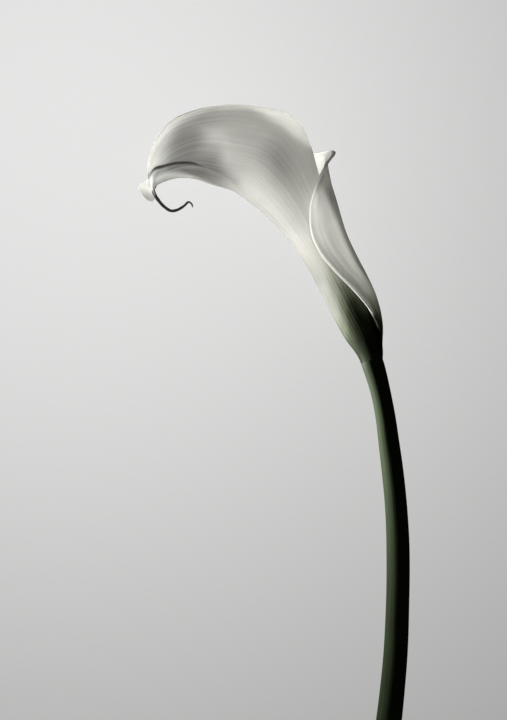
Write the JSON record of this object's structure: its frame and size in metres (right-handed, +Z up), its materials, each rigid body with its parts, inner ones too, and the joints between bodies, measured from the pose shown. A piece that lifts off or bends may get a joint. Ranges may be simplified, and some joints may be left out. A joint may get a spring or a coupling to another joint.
{
  "type": "calla lily flower",
  "caption": "Cut calla lily flower lying on its side: a rolled white spathe with a hood, flap and curled tail round a finger-like spadix, on a long bent stem.",
  "frame": {"origin": "middle of the flower's bounding box, on the surface that it lies on", "axes": "+Y runs from the cut end of the stem towards the bloom, +X to the right of the picture, +Z up from the surface"},
  "size_m": [0.1367, 0.3241, 0.0567],
  "materials": {
    "stem": "smooth waxy plant stem, very dark green",
    "spathe": "matt satin petal, white, finely veined, slightly translucent",
    "spadix": "matt, covered in small florets and pollen"
  },
  "bodies": {
    "root": {"stem": "stem", "spathe": "spathe", "spadix": "spadix"}
  },
  "joints": []
}
